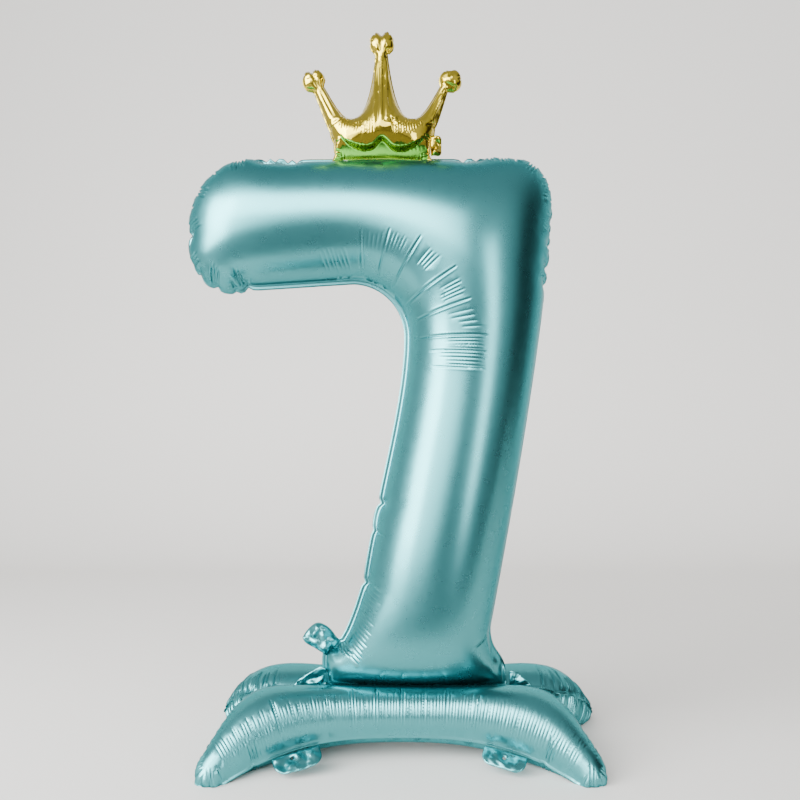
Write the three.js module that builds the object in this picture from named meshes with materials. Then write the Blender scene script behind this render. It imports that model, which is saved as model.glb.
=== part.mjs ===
// A free-standing foil number balloon: an inflated digit seven that stands on two inflated arches
// and wears an inflated three-pointed crown. Every air chamber is two foil sheets, welded together
// along a flat flange, with a flat one-way valve of two clear films inside.
// Millimetres, +Z up, +X to the right of someone facing the digit, who stands on the -Y side.
import * as THREE from "three";

// Foil. The real film is about 0.05 mm thick; it is drawn thicker so that it has a solid of its own.
const FILM = 1.2;
const GAP = 0.3; // between two pieces that lie together
const HALF_SEAM = GAP / 2; // from a chamber's seam plane to the inner face of either sheet

// The weld line: the digit's foot and the top edges of both arches hang on it like three leaves.
const WELD_Z = 84;
const FOOT_LEFT = -102;
const FOOT_RIGHT = 147;
const WELD_RADIUS = 1.8;

// Digit seven, seen from the front.
const DIGIT_TOP = 783;
const DIGIT_FLANGE = 7;
const FOOT_Z = WELD_Z + 3;
const FOOT_WEDGE = Math.tan(THREE.MathUtils.degToRad(30)); // slope of the digit's underside from the weld

// Arches. Each one's seam lies in a plane that slopes down from the weld line.
const ARCH_SLOPE = THREE.MathUtils.degToRad(33);
const ARCH_FLANGE = 6;
const ARCH_TOP_WEDGE = Math.tan(THREE.MathUtils.degToRad(19)); // the arches stay under this slope
const ARCH_GAP_WEDGE = Math.tan(THREE.MathUtils.degToRad(4)); // and this far off the middle plane
const ARCH_CLEAR = 2; // half of the gap between the two arches at the weld
const ARCH_UPPER_BULGE = 1.15;
const ARCH_LOWER_BULGE = 1.2;
const ARCH_SPAN = 251; // half the length of the arch that the outline is drawn for
const FOOT_X = 226; // the lower edge curves from foot to foot
const FOOT_V = 148;
const CROTCH_V = 89; // and comes up to here in the middle
const TAB_X = 134; // how far the tabs on the lower edge are from the middle
const TAB_DROP = 2.5;
const EYELET = 2.5;
const FRONT_ARCH = { stretch: 1, centre: 1, side: -1 };
const REAR_ARCH = { stretch: 1.09, centre: 12, side: 1 };

// Crown.
const CROWN_X = -23;
const CROWN_FLANGE = 3.5;
const CROWN_HEM = 7; // the wider flange along its base, which is glued to the digit's top flange
const CROWN_Z = DIGIT_TOP - 4.5;
const GLUE = { width: 12, height: 4, thick: 0.8 };
const CROWN_Y = -(HALF_SEAM + FILM + GAP + GLUE.thick + GAP + FILM + HALF_SEAM);
const BALL_RADIUS = 14;

const VALVE_FILM = 0.5;
const TAIL_THICK = 2.4; // both foil layers of an inflation tail, lying together

const FOIL = new THREE.MeshStandardMaterial({ color: 0x6db3b6, roughness: 0.3, metalness: 0.9 });
const GOLD = new THREE.MeshStandardMaterial({ color: 0xc8a24a, roughness: 0.12, metalness: 1 });
const CLEAR = new THREE.MeshStandardMaterial({ color: 0xdfe6e8, roughness: 0.35, metalness: 0 });
const GLUE_CLEAR = new THREE.MeshStandardMaterial({ color: 0xe8e4da, roughness: 0.5, metalness: 0 });
const WELD_FOIL = new THREE.MeshStandardMaterial({ color: 0x5a9c9f, roughness: 0.4, metalness: 0.8 });

const balloon = new THREE.Group();

function add(name, geometry, material, parent = balloon) {
  const mesh = new THREE.Mesh(geometry, material);
  mesh.name = name;
  parent.add(mesh);
  return mesh;
}

// ---------------------------------------------------------------- flat outlines

function digitOutline() {
  const s = new THREE.Shape();
  s.moveTo(FOOT_LEFT, FOOT_Z);
  s.lineTo(FOOT_RIGHT, FOOT_Z);
  s.quadraticCurveTo(148, 114, 134, 132);
  s.quadraticCurveTo(124, 144, 124, 166);
  s.bezierCurveTo(138, 250, 194, 560, 198, DIGIT_TOP - 58);
  s.absarc(140, DIGIT_TOP - 58, 58, 0, Math.PI / 2, false);
  s.lineTo(-183, DIGIT_TOP - 1);
  s.absarc(-183, DIGIT_TOP - 93, 92, Math.PI / 2, Math.PI, false);
  s.absarc(-220, DIGIT_TOP - 115, 55, Math.PI, 1.5 * Math.PI, false);
  s.lineTo(-62, DIGIT_TOP - 160);
  s.absarc(-62, DIGIT_TOP - 227, 67, Math.PI / 2, 0, true);
  s.bezierCurveTo(5, 470, -35, 340, -50, 238);
  s.quadraticCurveTo(-66, 190, -86, 150);
  s.quadraticCurveTo(-108, 115, FOOT_LEFT, FOOT_Z);
  return s;
}

// x runs along the arch and y down its slope from the weld line.
function archOutline(stretch) {
  const s = new THREE.Shape();
  const [end, top, foot] = [ARCH_SPAN - 1, 175, FOOT_X].map((x) => x * stretch);
  s.moveTo(-top, 3);
  s.bezierCurveTo(-0.9 * end, 5, -0.97 * end, 70, -end, 125);
  s.quadraticCurveTo(-1.012 * end, FOOT_V + 3, -foot, FOOT_V);
  s.quadraticCurveTo(0, 2 * CROTCH_V - FOOT_V, foot, FOOT_V);
  s.quadraticCurveTo(1.012 * end, FOOT_V + 3, end, 125);
  s.bezierCurveTo(0.97 * end, 70, 0.9 * end, 5, top, 3);
  s.lineTo(-top, 3);
  return s;
}

// x from the crown's middle and y up from its base.
function crownOutline() {
  const s = new THREE.Shape();
  const tilt = THREE.MathUtils.degToRad(58); // the outer points' lean
  const neck = THREE.MathUtils.degToRad(33); // half of the gap in a ball where its point comes in
  s.moveTo(-62, 0);
  s.lineTo(62, 0);
  s.quadraticCurveTo(62, 22, 68, 34);
  s.lineTo(84, 84);
  s.absarc(87, 98, BALL_RADIUS, tilt - Math.PI + neck, tilt + Math.PI - neck, false);
  s.bezierCurveTo(60, 70, 50, 50, 36, 52);
  s.bezierCurveTo(22, 54, 13, 90, 8, 131);
  s.absarc(0, 144, BALL_RADIUS + 1, neck - Math.PI / 2, 1.5 * Math.PI - neck, false);
  s.bezierCurveTo(-13, 90, -22, 54, -36, 52);
  s.bezierCurveTo(-50, 50, -60, 70, -87 + BALL_RADIUS, 91);
  s.absarc(-87, 98, BALL_RADIUS, -tilt + neck, 2 * Math.PI - tilt - neck, false);
  s.lineTo(-68, 34);
  s.quadraticCurveTo(-62, 22, -62, 0);
  return s;
}

// ---------------------------------------------------------------- the net of a chamber

// Moves each side of a counter-clockwise loop inwards by the distance of its own corner points.
function inset(loop, distance) {
  const inwards = (a, b) => new THREE.Vector2(a.y - b.y, b.x - a.x).normalize();
  return loop.map((p, i) => {
    const m = inwards(loop[(i + loop.length - 1) % loop.length], p);
    const n = inwards(p, loop[(i + 1) % loop.length]);
    return m.clone().add(n).multiplyScalar(distance(p) / (1 + m.dot(n))).add(p);
  });
}

function inside(p, loop) {
  let odd = false;
  for (let i = 0, j = loop.length - 1; i < loop.length; j = i++) {
    const a = loop[i];
    const b = loop[j];
    if (a.y > p.y !== b.y > p.y && p.x < a.x + ((b.x - a.x) * (p.y - a.y)) / (b.y - a.y)) odd = !odd;
  }
  return odd;
}

function distanceTo(p, loop) {
  const near = new THREE.Vector3();
  const q = new THREE.Vector3(p.x, p.y, 0);
  return Math.min(...loop.map((a, i) => {
    const b = loop[(i + 1) % loop.length];
    const side = new THREE.Line3(new THREE.Vector3(a.x, a.y, 0), new THREE.Vector3(b.x, b.y, 0));
    return side.closestPointToPoint(q, true, near).distanceTo(q);
  }));
}

function inCircle(a, b, c, p) {
  const [ax, ay, bx, by, cx, cy] = [a.x - p.x, a.y - p.y, b.x - p.x, b.y - p.y, c.x - p.x, c.y - p.y];
  const d = (ax * ax + ay * ay) * (bx * cy - cx * by)
    - (bx * bx + by * by) * (ax * cy - cx * ay)
    + (cx * cx + cy * cy) * (ax * by - bx * ay);
  return d > 0;
}

// Delaunay triangulation by adding one point at a time. The triangles are counter-clockwise.
function delaunay(points) {
  const far = 1e5;
  const n = points.length;
  const all = [...points, new THREE.Vector2(-far, -far), new THREE.Vector2(far, -far), new THREE.Vector2(0, far)];
  let triangles = [[n, n + 1, n + 2]];
  for (let i = 0; i < n; i++) {
    const rim = new Map();
    triangles = triangles.filter((t) => {
      if (!inCircle(all[t[0]], all[t[1]], all[t[2]], all[i])) return true;
      t.forEach((a, k) => {
        const b = t[(k + 1) % 3];
        if (!rim.delete(`${b}_${a}`)) rim.set(`${a}_${b}`, [a, b]);
      });
      return false;
    });
    rim.forEach(([a, b]) => triangles.push([a, b, i]));
  }
  return triangles.filter((t) => t.every((v) => v < n));
}

// The height that air pressure gives each point: h * h / 2 solves Poisson's equation with its value 0
// on the seam, which makes a long straight chamber exactly round.
function inflate(points, triangles, isFixed) {
  const area = new Float64Array(points.length);
  const links = points.map(() => new Map());
  for (const t of triangles) {
    t.forEach((i, k) => {
      const j = t[(k + 1) % 3];
      const o = t[(k + 2) % 3];
      const u = points[i].clone().sub(points[o]);
      const v = points[j].clone().sub(points[o]);
      const half = 0.5 * (u.dot(v) / u.cross(v));
      links[i].set(j, (links[i].get(j) ?? 0) + half);
      links[j].set(i, (links[j].get(i) ?? 0) + half);
      area[i] += u.cross(v) / 6;
    });
  }
  const value = new Float64Array(points.length);
  for (let round = 0; round < 3000; round++) {
    for (let i = 0; i < points.length; i++) {
      if (isFixed(i)) continue;
      let sum = area[i];
      let weight = 0;
      links[i].forEach((w, j) => {
        sum += w * value[j];
        weight += w;
      });
      value[i] = sum / weight;
    }
  }
  return Array.from(value, (x) => Math.sqrt(2 * Math.max(x, 0)));
}

// Points, triangles and heights for one sheet: the flange's rim, the seam, a ring just inside it
// that gives the steep first rise, and a hexagonal field of points.
function chamberNet(outline, { flange, ring, pitch, step }) {
  let rim = outline.getSpacedPoints(Math.round(outline.getLength() / step)).slice(0, -1);
  if (THREE.ShapeUtils.isClockWise(rim)) rim = rim.reverse();
  const seam = inset(rim, typeof flange === "function" ? flange : () => flange);
  const first = inset(seam, () => ring);
  const box = new THREE.Box2().setFromPoints(first);
  const field = [];
  for (let row = 0, y = box.min.y; y < box.max.y; row++, y += pitch * Math.sqrt(0.75)) {
    for (let x = box.min.x + (row % 2) * pitch * 0.5; x < box.max.x; x += pitch) {
      const p = new THREE.Vector2(x, y);
      if (inside(p, first) && distanceTo(p, first) > 0.55 * step) field.push(p);
    }
  }
  const n = rim.length;
  const inner = [...first, ...field];
  const triangles = delaunay(inner)
    .filter((t) => {
      const middle = new THREE.Vector2();
      t.forEach((v) => middle.addScaledVector(inner[v], 1 / 3));
      return inside(middle, first);
    })
    .map((t) => t.map((v) => v + 2 * n));
  for (const base of [0, n]) {
    for (let i = 0; i < n; i++) {
      const j = (i + 1) % n;
      triangles.push([base + i, base + j, base + n + j], [base + i, base + n + j, base + n + i]);
    }
  }
  const points = [...rim, ...seam, ...inner];
  return { points, triangles, n, height: inflate(points, triangles, (i) => i < 2 * n) };
}

// One foil sheet as a closed shell: its outer face, the same face moved inwards by the film's
// thickness, and a strip round the flange's rim. place(p, h) puts a point of the net in space, h
// above the seam plane on the sheet's own side; mirrored is true where that turns the net over.
function sheet(net, place, mirrored, bulge = 1) {
  const { points, triangles, n, height } = net;
  const outer = points.map((p, i) => place(p, HALF_SEAM + FILM + bulge * height[i]));
  const turned = mirrored ? triangles.map(([a, b, c]) => [a, c, b]) : triangles;
  const face = new THREE.BufferGeometry().setFromPoints(outer).setIndex(turned.flat());
  face.computeVertexNormals();
  const normals = face.getAttribute("normal");
  const inner = outer.map((p, i) => {
    if (i < 2 * n) return place(points[i], HALF_SEAM);
    return p.clone().addScaledVector(new THREE.Vector3().fromBufferAttribute(normals, i), -FILM);
  });
  const count = points.length;
  const faces = turned.flat();
  turned.forEach(([a, b, c]) => faces.push(a + count, c + count, b + count));
  for (let i = 0; i < n; i++) {
    const j = (i + 1) % n;
    const strip = [i + count, j, i, i + count, j + count, j];
    faces.push(...(mirrored ? strip.reverse() : strip));
  }
  return new THREE.BufferGeometry().setFromPoints([...outer, ...inner]).setIndex(faces);
}

// ---------------------------------------------------------------- flat pieces

// A flat piece cut from an outline, centred on its own plane.
function flat(shape, thick) {
  return new THREE.ExtrudeGeometry(shape, { depth: thick, bevelEnabled: false, curveSegments: 4 })
    .translate(0, 0, -thick / 2);
}

// A tongue that starts at its root on y = 0, is as wide as its root there and has a round end.
function tongue(width, length, radius) {
  const s = new THREE.Shape();
  const w = width / 2;
  s.moveTo(-w, 0);
  s.lineTo(-w, length - radius);
  s.absarc(-w + radius, length - radius, radius, Math.PI, Math.PI / 2, true);
  s.absarc(w - radius, length - radius, radius, Math.PI / 2, 0, true);
  s.lineTo(w, 0);
  s.lineTo(-w, 0);
  return s;
}

// A one-way valve: two clear films, one on each side of the chamber's seam plane. Its group's
// x and y axes lie in that plane, and the valve runs along +y from the inlet.
function valve(prefix, width, length, group) {
  for (const [name, side] of [["valve_front_film", 1], ["valve_back_film", -1]]) {
    const film = add(`${prefix}_${name}`, flat(tongue(width, length, width / 2.5), VALVE_FILM), CLEAR, group);
    film.position.z = side * (HALF_SEAM + VALVE_FILM / 2);
  }
}

// ---------------------------------------------------------------- digit

// A group whose x is the row's X, y the row's Z and z the row's -Y: a drawing seen from the front.
function frontDrawing(x, z, turn = 0, y = 0) {
  const group = new THREE.Group();
  group.rotation.set(Math.PI / 2, 0, 0);
  group.position.set(x, y, z);
  const spin = new THREE.Group();
  spin.rotation.z = THREE.MathUtils.degToRad(turn);
  group.add(spin);
  balloon.add(group);
  return spin;
}

function buildDigit() {
  const net = chamberNet(digitOutline(), { flange: DIGIT_FLANGE, ring: 6, pitch: 27, step: 21 });
  const underside = (p, h) => Math.min(h, HALF_SEAM + FILM + Math.max(p.y - FOOT_Z, 0) / FOOT_WEDGE);
  const front = (p, h) => new THREE.Vector3(p.x, -underside(p, h), p.y);
  const back = (p, h) => new THREE.Vector3(p.x, underside(p, h), p.y);
  add("digit_front_sheet", sheet(net, front, false), FOIL);
  add("digit_back_sheet", sheet(net, back, true), FOIL);

  // The inflation tail leaves the stem's lower left edge and points up and to the left.
  const root = { x: -101.5, z: 133, turn: 58 };
  add("digit_inflation_tail", flat(tongue(34, 40, 10), TAIL_THICK), FOIL, frontDrawing(root.x, root.z, root.turn));
  valve("digit", 20, 66, frontDrawing(root.x + 20, root.z, -95));
}

// ---------------------------------------------------------------- arches

// Puts a point of an arch's drawing in space: down its slope by v, and n above its seam plane.
function archPoint({ side, centre }, x, v, n) {
  const across = v * Math.cos(ARCH_SLOPE) + n * Math.sin(ARCH_SLOPE);
  const z = WELD_Z - v * Math.sin(ARCH_SLOPE) + n * Math.cos(ARCH_SLOPE);
  return new THREE.Vector3(centre + x, side * across, z);
}

// Keeps an arch's film under the digit, off the other arch and on the ground.
function pressed(point, side) {
  const p = point.clone();
  const across = Math.max(p.y * side, ARCH_CLEAR + Math.max(WELD_Z - p.z, 0) * ARCH_GAP_WEDGE);
  p.y = side * across;
  p.z = Math.max(Math.min(p.z, WELD_Z + 3 + across * ARCH_TOP_WEDGE), 0);
  return p;
}

// A group on the arch's lower edge at x, with an offset down the slope: its x axis runs along the
// edge, its y axis points away from the arch and its z axis is the normal of the arch's seam plane.
function edgeDrawing(arch, x, offset) {
  const foot = FOOT_X * arch.stretch;
  const rise = (FOOT_V - CROTCH_V) / foot ** 2;
  const down = new THREE.Vector3(0, arch.side * Math.cos(ARCH_SLOPE), -Math.sin(ARCH_SLOPE));
  const up = new THREE.Vector3(0, arch.side * Math.sin(ARCH_SLOPE), Math.cos(ARCH_SLOPE));
  const along = new THREE.Vector3().crossVectors(down, up);
  const group = new THREE.Group();
  group.matrix.makeBasis(along, down, up)
    .setPosition(archPoint(arch, x, CROTCH_V + rise * x * x + offset, 0));
  group.matrixAutoUpdate = false;
  const turned = new THREE.Group();
  turned.rotation.z = along.x * Math.atan(2 * rise * x);
  group.add(turned);
  balloon.add(group);
  return turned;
}

function buildArch(prefix, arch) {
  const net = chamberNet(archOutline(arch.stretch), { flange: ARCH_FLANGE, ring: 5, pitch: 19, step: 16 });
  const upper = (p, h) => pressed(archPoint(arch, p.x, p.y, h), arch.side);
  const lower = (p, h) => pressed(archPoint(arch, p.x, p.y, -h), arch.side);
  add(`${prefix}_upper_sheet`, sheet(net, upper, arch.side < 0, ARCH_UPPER_BULGE), FOIL);
  add(`${prefix}_lower_sheet`, sheet(net, lower, arch.side > 0, ARCH_LOWER_BULGE), FOIL);

  // Two tabs hang from the lower edge. The left one, for the one who faces this side, is the
  // inflation tab in front of the valve, and the right one has an eyelet for a ribbon.
  const left = arch.side;
  const inlet = tongue(62, 27, 16);
  inlet.holes.push(new THREE.Path().absarc(6, 7, EYELET, 0, 2 * Math.PI, false));
  add(`${prefix}_inflation_tab`, flat(inlet, TAIL_THICK), FOIL, edgeDrawing(arch, left * TAB_X, TAB_DROP));
  const hanger = tongue(56, 25, 14);
  hanger.holes.push(new THREE.Path().absarc(0, 9, EYELET, 0, 2 * Math.PI, false));
  add(`${prefix}_hang_tab`, flat(hanger, TAIL_THICK), FOIL, edgeDrawing(arch, -left * TAB_X, TAB_DROP));
  const inlay = new THREE.Group();
  inlay.rotation.z = Math.PI;
  edgeDrawing(arch, left * TAB_X, -ARCH_FLANGE - 3).add(inlay);
  valve(prefix, 22, 52, inlay);
}

// ---------------------------------------------------------------- crown

function buildCrown() {
  const net = chamberNet(crownOutline(), {
    flange: (p) => (p.y < 1 ? CROWN_HEM : CROWN_FLANGE), ring: 2.5, pitch: 11, step: 9,
  });
  const front = (p, h) => new THREE.Vector3(CROWN_X + p.x, CROWN_Y - h, CROWN_Z + p.y);
  const back = (p, h) => new THREE.Vector3(CROWN_X + p.x, CROWN_Y + h, CROWN_Z + p.y);
  add("crown_front_sheet", sheet(net, front, false), GOLD);
  add("crown_back_sheet", sheet(net, back, true), GOLD);
  const tail = frontDrawing(CROWN_X + 69, CROWN_Z + 19, -90, CROWN_Y);
  add("crown_inflation_tail", flat(tongue(20, 15, 6), TAIL_THICK), GOLD, tail);
  valve("crown", 14, 40, frontDrawing(CROWN_X + 54, CROWN_Z + 20, 84, CROWN_Y));

  // Glue dots hold the crown's hem against the digit's top flange.
  const y = -(HALF_SEAM + FILM + GAP + GLUE.thick / 2);
  for (const [name, x] of [["left", -46], ["right", 46]]) {
    const dot = new THREE.Shape().absellipse(0, 0, GLUE.width / 2, GLUE.height / 2, 0, 2 * Math.PI);
    add(`crown_glue_dot_${name}`, flat(dot, GLUE.thick), GLUE_CLEAR, frontDrawing(CROWN_X + x, DIGIT_TOP - 2.2, 0, y));
  }
}

// ---------------------------------------------------------------- foot weld

function buildWeld() {
  const length = FOOT_RIGHT - FOOT_LEFT;
  const bead = new THREE.CylinderGeometry(WELD_RADIUS, WELD_RADIUS, length, 10).rotateZ(Math.PI / 2);
  add("foot_weld", bead, WELD_FOIL).position.set((FOOT_LEFT + FOOT_RIGHT) / 2, 0, WELD_Z);

  // At each end of the weld a gusset of bare foil stands up between the digit and the arches.
  for (const [name, x, out, tall] of [["left", FOOT_LEFT, -1, 24], ["right", FOOT_RIGHT, 1, 18]]) {
    const s = new THREE.Shape();
    s.moveTo(0, 0);
    s.lineTo(out * 44, 0);
    s.lineTo(out * 4, tall);
    s.lineTo(0, tall);
    s.lineTo(0, 0);
    add(`weld_gusset_${name}`, flat(s, TAIL_THICK / 2), FOIL, frontDrawing(x + out * 7, WELD_Z));
  }
}

buildDigit();
buildArch("front_arch", FRONT_ARCH);
buildArch("rear_arch", REAR_ARCH);
buildCrown();
buildWeld();

// The origin is on the ground under the middle of the whole balloon.
balloon.updateMatrixWorld(true);
const extent = new THREE.Box3().setFromObject(balloon);
const middle = extent.getCenter(new THREE.Vector3());
balloon.position.set(-middle.x, -middle.y, -extent.min.z);

export default balloon;
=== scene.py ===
"""A free-standing foil number balloon: an inflated digit seven on two inflated arches, with a small
inflated gold crown. The CAD model gives every piece's place; this script makes the foil itself."""
from math import copysign, cos, exp, pi, radians, sin, tan

import bpy
import numpy as np
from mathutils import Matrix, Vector
from mathutils.geometry import delaunay_2d_cdt


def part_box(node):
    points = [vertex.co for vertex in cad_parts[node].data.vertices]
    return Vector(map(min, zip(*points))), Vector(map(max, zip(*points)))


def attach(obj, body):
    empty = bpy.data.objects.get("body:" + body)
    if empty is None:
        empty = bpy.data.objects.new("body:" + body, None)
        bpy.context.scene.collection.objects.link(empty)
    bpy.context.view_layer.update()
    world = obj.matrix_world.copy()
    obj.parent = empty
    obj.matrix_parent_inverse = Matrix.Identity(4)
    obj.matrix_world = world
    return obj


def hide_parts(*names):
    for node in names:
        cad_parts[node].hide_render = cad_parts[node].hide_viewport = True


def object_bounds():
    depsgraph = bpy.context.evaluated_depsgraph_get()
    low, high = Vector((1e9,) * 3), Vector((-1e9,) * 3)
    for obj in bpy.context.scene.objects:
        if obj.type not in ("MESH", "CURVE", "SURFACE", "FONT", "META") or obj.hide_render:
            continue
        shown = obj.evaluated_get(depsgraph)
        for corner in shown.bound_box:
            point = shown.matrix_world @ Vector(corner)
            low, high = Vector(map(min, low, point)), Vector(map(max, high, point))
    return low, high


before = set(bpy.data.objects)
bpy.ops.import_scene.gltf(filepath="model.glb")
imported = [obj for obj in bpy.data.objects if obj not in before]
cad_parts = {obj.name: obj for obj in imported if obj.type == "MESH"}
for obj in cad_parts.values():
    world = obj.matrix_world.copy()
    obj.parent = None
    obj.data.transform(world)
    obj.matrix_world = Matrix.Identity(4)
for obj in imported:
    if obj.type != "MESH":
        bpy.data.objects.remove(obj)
CAD_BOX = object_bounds()

MM = 0.001
FILM = 0.25 * MM  # drawn thickness of the foil
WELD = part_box("foot_weld")
WELD_Z = (WELD[0].z + WELD[1].z) / 2 / MM
ARCH_SLOPE = radians(33)  # of the arches' seam planes, as in the CAD model
ARCH_SHARE = tan(radians(4))  # how far an arch keeps off the plane between the two
ARCH_TOP = tan(radians(19))  # the slope that an arch stays under, near the weld
ARCH_CROTCH, ARCH_FOOT = 83.0, 159.0  # the lower edge's distance down the slope, mid-span and at a foot
DIGIT_UNDERSIDE = tan(radians(30))  # the digit's film stays over this slope behind
DIGIT_FRONT_UNDERSIDE = tan(radians(21.3))  # and over this one in front


# ---------------- outlines, in millimetres

def arc(x, y, radius, start, end):
    """Points on an arc, its angles in degrees."""
    n = max(3, round(abs(end - start) / 4))
    turn = np.radians(np.linspace(start, end, n + 1))
    return [(x + radius * cos(a), y + radius * sin(a)) for a in turn]


def curve(*points):
    """Points on a Bezier curve of any degree, without its first one."""
    out = []
    for t in np.linspace(0, 1, 25)[1:]:
        row = [np.array(p, float) for p in points]
        while len(row) > 1:
            row = [a * (1 - t) + b * t for a, b in zip(row, row[1:])]
        out.append(tuple(row[0]))
    return out


def trace(*parts):
    """A line from lists of points and from tuples, each of which bends a curve from the last point."""
    points = []
    for part in parts:
        points += part if isinstance(part, list) else curve(points[-1], *part)
    return points


def way_along(line):
    """How far along the line each of its points is."""
    return np.concatenate([[0], np.cumsum(np.linalg.norm(np.diff(line, axis=0), axis=1))])


def unit(vectors):
    return vectors / np.linalg.norm(vectors, axis=1)[:, None]


def resample(points, step, closed=True):
    """Even steps along the line through the points, which is a loop if it is closed."""
    p = np.array(points, float)
    p = p[np.linalg.norm(p - np.roll(p, 1, 0), axis=1) > 1e-6]
    ring = np.vstack([p, p[:1]]) if closed else p
    along = way_along(ring)
    s = np.arange(round(along[-1] / step)) * step
    s *= along[-1] / (len(s) * step)
    return np.stack([np.interp(s, along, ring[:, k]) for k in (0, 1)], 1)


def blur(values, rounds):
    """Smooths values that sit on a closed loop."""
    for _ in range(rounds):
        values = 0.25 * np.roll(values, 1, 0) + 0.5 * values + 0.25 * np.roll(values, -1, 0)
    return values


def outward(loop, rounds=1):
    tangent = np.roll(loop, -1, 0) - np.roll(loop, 1, 0)
    return unit(blur(np.stack([tangent[:, 1], -tangent[:, 0]], 1), rounds))


def bend(loop):
    """How sharply the loop turns at each point, positive where it is convex, in 1/mm."""
    n = outward(loop)
    a, b = np.roll(n, 1, 0), np.roll(n, -1, 0)
    turn = np.arctan2(a[:, 0] * b[:, 1] - a[:, 1] * b[:, 0], (a * b).sum(1))
    return blur(turn / np.linalg.norm(np.roll(loop, -1, 0) - np.roll(loop, 1, 0), axis=1), 4)


def ramp(x, low, high):
    """0 below low, 1 above high and smooth between."""
    t = np.clip((x - low) / (high - low), 0, 1)
    return t * t * (3 - 2 * t)


def inside(points, loop):
    a, b = loop, np.roll(loop, -1, 0)
    x, y = points[:, 0:1], points[:, 1:2]
    crosses = (a[None, :, 1] > y) != (b[None, :, 1] > y)
    slope = (b[:, 0] - a[:, 0])[None] * (y - a[None, :, 1]) / (b[:, 1] - a[:, 1] + 1e-12)[None]
    at = slope + a[None, :, 0]
    return (crosses & (x < at)).sum(1) % 2 == 1


def distance(points, loop):
    """From each point to the nearest side of the loop."""
    a, b = loop, np.roll(loop, -1, 0)
    side = b - a
    best = np.full(len(points), 1e9)
    for start, along in zip(a, side):
        rel = points - start
        t = np.clip((rel @ along) / max(along @ along, 1e-12), 0, 1)
        best = np.minimum(best, np.hypot(*(rel - t[:, None] * along).T))
    return best


# ---------------- creases

ROW_GAP = 3.5  # between the points along a crease
RIDGE_AT = 1.9  # a ridge's distance from its valley, in the crease's widths


class Crease:
    """A straight valley in the foil from a to b, in the drawing's plane, with a ridge beside it."""

    def __init__(self, a, b, width, depth, ridge, from_seam=False, alone=False):
        self.a, self.b = np.array(a, float), np.array(b, float)
        self.offsets = (0, -1, 1, -2, 2, -3.4, 3.4, -5.4, 5.4) if alone else (0, -1, 1, -2, 2)
        self.width, self.depth, self.ridge, self.from_seam = width, depth, ridge, from_seam
        self.length = float(np.linalg.norm(self.b - self.a))
        self.along = (self.b - self.a) / self.length
        self.across = np.array([-self.along[1], self.along[0]])

    def rows(self):
        """Points for the net, close together across the crease, its middle first."""
        n = max(4, round(self.length / ROW_GAP))
        t = np.linspace(0.22, 1, n + 3) ** 2 if self.from_seam else np.linspace(0, 1, n + 1)
        return [self.a + self.along * self.length * u + self.across * self.width * k
                for k in self.offsets for u in t]

    def covers(self, points):
        """Which points lie where this crease brings its own rows."""
        rel = points - self.a
        u, t = rel @ self.along, np.abs(rel @ self.across)
        return (u > -2) & (u < self.length + 2) & (t < (max(self.offsets) + 0.9) * self.width)

    def push(self, points):
        """How far each point moves along the foil's outward normal."""
        rel = points - self.a
        u, t = (rel @ self.along) / self.length, (rel @ self.across) / self.width
        near = (u > -0.1) & (u < 1.1) & (np.abs(t) < 4)
        u, t = np.clip(u[near], 0, 1), t[near]
        fade = np.clip((1 - u) * 2.5, 0, 1) if self.from_seam else np.sin(np.pi * u) ** 0.5
        valley = np.exp(-t * t)
        ridges = self.ridge * (np.exp(-((t - RIDGE_AT) ** 2)) + 0.6 * np.exp(-((t + RIDGE_AT) ** 2)))
        out = np.zeros(len(points))
        out[near] = self.depth * fade * (ridges - valley)
        return out


class Fold:
    """A curved valley along a line of points, steep and ridged to its left and gentle to its right."""

    LEAN = 2.6  # how much wider its right flank is
    FADE = 6.0  # how far from its ends it is full

    def __init__(self, points, width, depth, ridge):
        self.line = resample(points, 2.2, closed=False)
        self.width, self.depth, self.ridge = width, depth, ridge
        tangent = unit(np.gradient(self.line, axis=0))
        self.normal = np.stack([-tangent[:, 1], tangent[:, 0]], 1)
        self.way = way_along(self.line)

    def rows(self):
        return [p + n * self.width * k for k in (0, -1, 1, -2, 2, -3.2, 3.2, -4.6)
                for p, n in zip(self.line, self.normal)]

    def nearest(self, points):
        """Each point's distance to the side and from the line, in widths, and its way along."""
        gap = ((points[:, None, :] - self.line[None]) ** 2).sum(2)
        i = np.argmin(gap, 1)
        side = ((points - self.line[i]) * self.normal[i]).sum(1)
        return side / self.width, np.sqrt(gap[np.arange(len(points)), i]) / self.width, self.way[i]

    def covers(self, points):
        t, gap, _ = self.nearest(points)
        return gap < np.where(t < 0, 5.4, 4.1)

    def push(self, points):
        t, gap, way = self.nearest(points)
        ends = np.clip(np.minimum(way, self.way[-1] - way) / self.FADE, 0, 1)
        near = gap < np.abs(t) + 0.8
        valley = np.exp(-((t / np.where(t < 0, self.LEAN, 1)) ** 2))
        ridge = self.ridge * np.exp(-((t - RIDGE_AT) ** 2))
        return self.depth * ends * np.where(near, ridge - valley, 0)


# ---------------- the net of a chamber

def thin(points, gap):
    """Leaves out each point that is nearer than the gap to one before it."""
    kept, cells = [], {}
    for p in points:
        i, j = int(p[0] // gap), int(p[1] // gap)
        near = [q for a in (-1, 0, 1) for b in (-1, 0, 1) for q in cells.get((i + a, j + b), ())]
        if all((p[0] - q[0]) ** 2 + (p[1] - q[1]) ** 2 > gap * gap for q in near):
            kept.append(p)
            cells.setdefault((i, j), []).append(p)
    return np.array(kept)


def rings(radius, step, reach):
    """Distances from the seam that are evenly spaced along a round chamber's surface."""
    out, k = [], 1
    while True:
        d = radius * (1 - cos(k * step / radius))
        if d > reach:
            return out
        out.append(d)
        k += 1


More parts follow.
